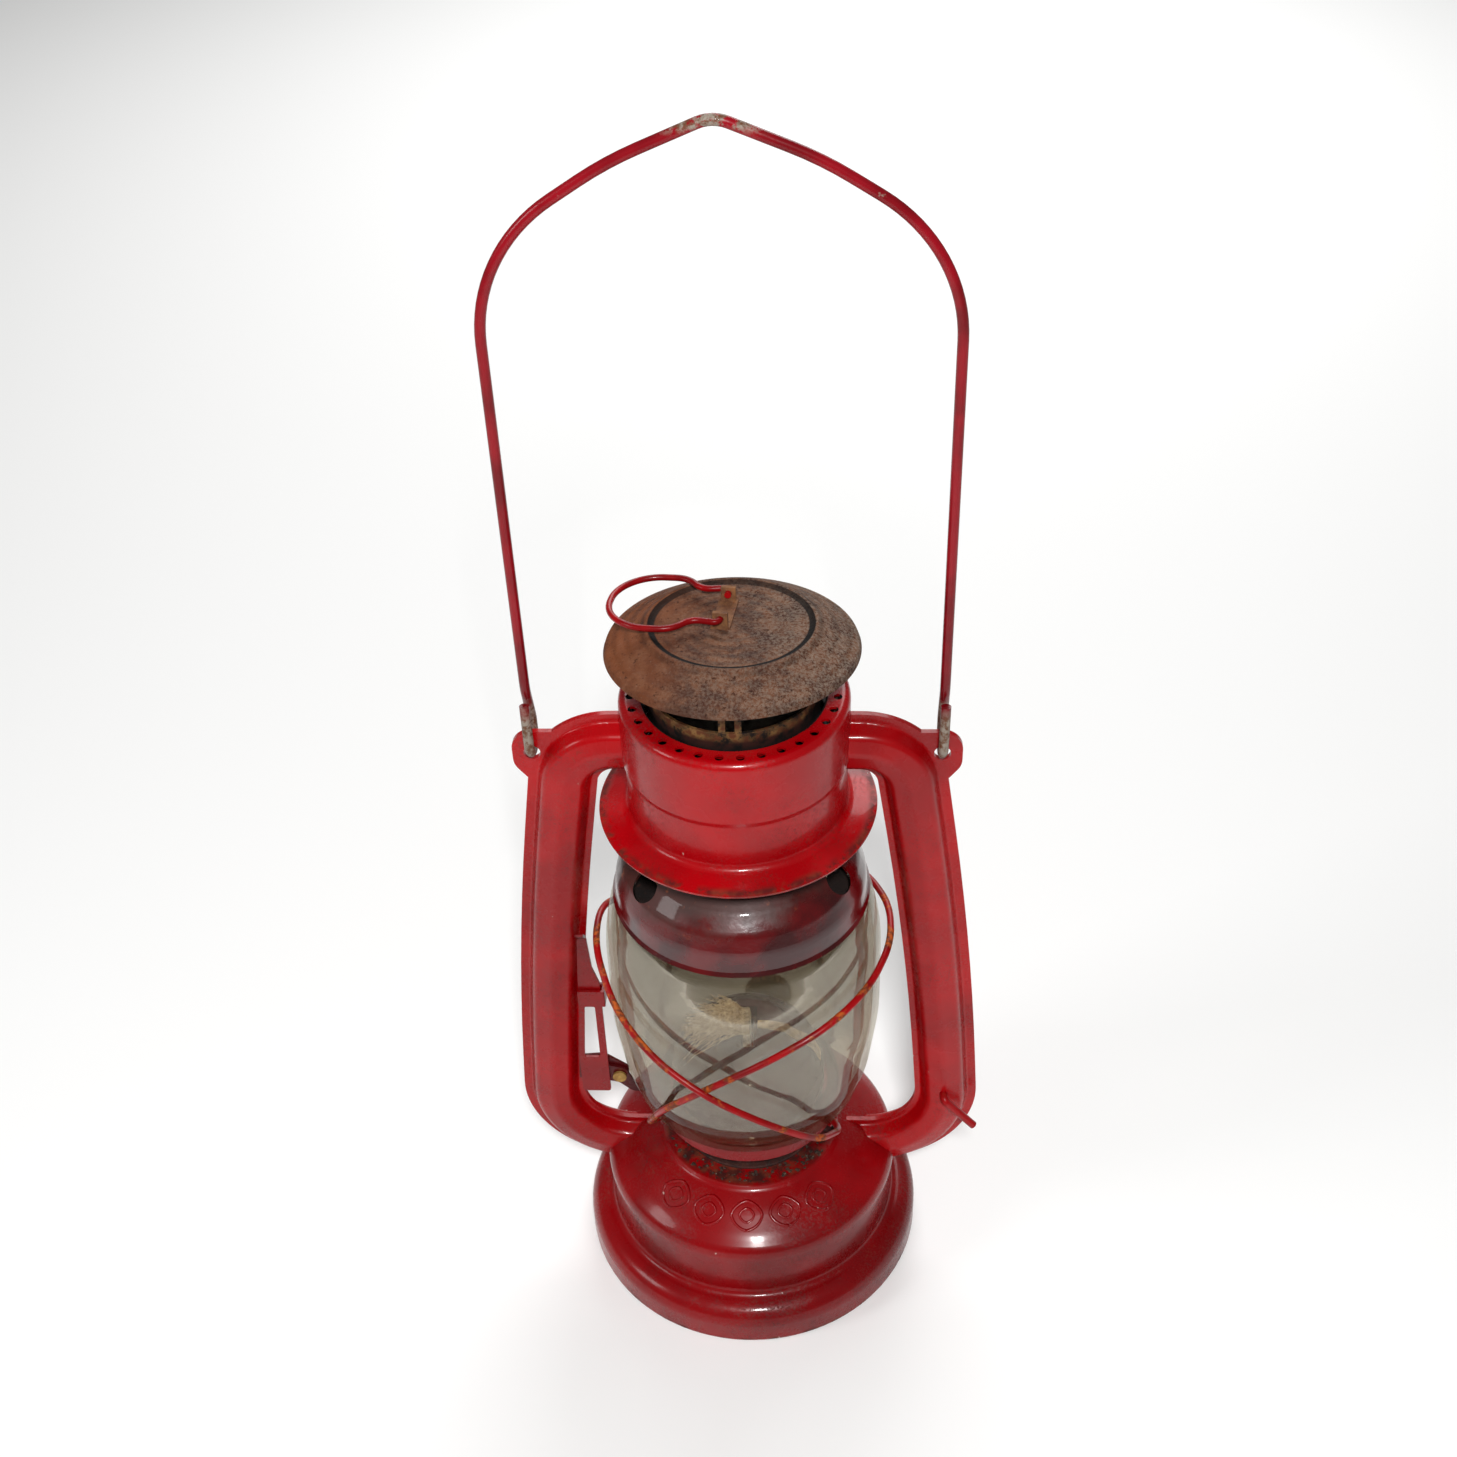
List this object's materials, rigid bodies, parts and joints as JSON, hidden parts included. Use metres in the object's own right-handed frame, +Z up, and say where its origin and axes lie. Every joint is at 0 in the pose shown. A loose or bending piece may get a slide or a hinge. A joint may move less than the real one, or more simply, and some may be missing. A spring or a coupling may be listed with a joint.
{
  "type": "hurricane lantern",
  "caption": "Pressed-steel oil lantern with a glass globe, side air tubes, carrying bail, sprung cap, globe lifter and wick drive.",
  "frame": {"origin": "on the floor under the middle of the foot", "axes": "+Z up, +X towards the plain side tube, -Y the front, the lifter on the -X tube"},
  "size_m": [0.1468, 0.11, 0.3855],
  "materials": {
    "red_enamel": "glossy, worn",
    "dark_red_enamel": "glossy",
    "scorched_steel": "sooty",
    "rusted_steel": "rusted",
    "rusty_wire": "red, rusting through",
    "dark_wire": "dull",
    "burner_brass": "tarnished",
    "filler_metal": "dull",
    "smoked_glass": "dusty",
    "cotton": "frayed",
    "seal": "matt"
  },
  "bodies": {
    "lantern": {"tank_dome": "red_enamel", "base_skirt": "red_enamel", "tank_floor": "red_enamel", "burner_collar": "burner_brass", "filler_neck": "red_enamel", "left_tube_front": "red_enamel", "left_tube_back": "red_enamel", "right_tube_front": "red_enamel", "right_tube_back": "red_enamel", "hinge_wire": "rusty_wire", "crown_hood": "red_enamel", "lift_spring": "dark_wire", "burner_base": "burner_brass", "burner_deck": "burner_brass", "air_diffuser": "burner_brass", "burner_cone": "dark_red_enamel", "wick_tube": "burner_brass", "lever_keeper": "red_enamel", "lever_bracket": "scorched_steel", "crank_rivet": "burner_brass"},
    "bail": {"bail": "red_enamel"},
    "globe_carriage": {"globe": "smoked_glass", "globe_plate": "dark_red_enamel", "guard_wire_left": "rusty_wire", "guard_wire_right": "rusty_wire"},
    "cap_unit": {"cap": "rusted_steel", "chimney": "scorched_steel", "bell": "dark_red_enamel", "globe_seat": "dark_red_enamel", "ring_clip": "rusted_steel"},
    "lift_ring": {"lift_ring": "red_enamel"},
    "lever": {"globe_lever": "red_enamel"},
    "crank": {"lift_crank": "scorched_steel"},
    "wick_drive": {"wick_shaft": "burner_brass", "wick_sprockets": "burner_brass", "wick_knob": "burner_brass"},
    "wick": {"wick": "cotton"},
    "filler_seal": {"filler_gasket": "seal"},
    "filler_cap": {"filler_cap": "filler_metal"}
  },
  "joints": [
    {"name": "bail_swing", "type": "hinge", "parent": "lantern", "child": "bail", "pos_m": [0, 0, 0.2088], "axis": [1, 0, 0], "range_deg": [-105, 105]},
    {"name": "globe_lift", "type": "slide", "parent": "lantern", "child": "globe_carriage", "axis": [0, 0, 1], "range_m": [0, 0.009], "deforming": ["lift_spring"]},
    {"name": "cap_lift", "type": "slide", "parent": "globe_carriage", "child": "cap_unit", "axis": [0, 0, 1], "range_m": [0, 0.008], "stiffness_N_per_m": 150, "springref_m": -0.02, "deforming": ["lift_spring"]},
    {"name": "ring_flip", "type": "hinge", "parent": "cap_unit", "child": "lift_ring", "pos_m": [-0.002, 0.00551, 0.2499], "axis": [0.1219, 0.9895, -0.0779], "range_deg": [0, 165]},
    {"name": "lever_press", "type": "slide", "parent": "lantern", "child": "lever", "axis": [0, 0, -1], "range_m": [0, 0.006]},
    {"name": "crank_turn", "type": "hinge", "parent": "lantern", "child": "crank", "pos_m": [-0.0415, 0, 0.069], "axis": [0, -1, 0], "range_deg": [0, 45]},
    {"name": "wick_turn", "type": "hinge", "parent": "lantern", "child": "wick_drive", "pos_m": [0.005, 0, 0.0562], "axis": [0, 1, 0], "range_deg": [-28, 114]},
    {"name": "wick_rise", "type": "slide", "parent": "lantern", "child": "wick", "axis": [0, 0, 1], "range_m": [-0.002, 0.008]},
    {"name": "filler_rise", "type": "slide", "parent": "lantern", "child": "filler_seal", "axis": [0, 0, 1], "range_m": [0, 0.00451]},
    {"name": "filler_turn", "type": "hinge", "parent": "filler_seal", "child": "filler_cap", "pos_m": [-0.02722, 0.02722, 0.052], "axis": [0, 0, 1], "range_deg": [0, 1080]}
  ],
  "couplings": [
    {"joint": "lever_press", "follows": "globe_lift", "ratio": 0.66666},
    {"joint": "crank_turn", "follows": "globe_lift", "rad_per_m": 87.26},
    {"joint": "wick_rise", "follows": "wick_turn", "m_per_rad": 0.004},
    {"joint": "filler_rise", "follows": "filler_turn", "m_per_rad": 0.00023873}
  ]
}
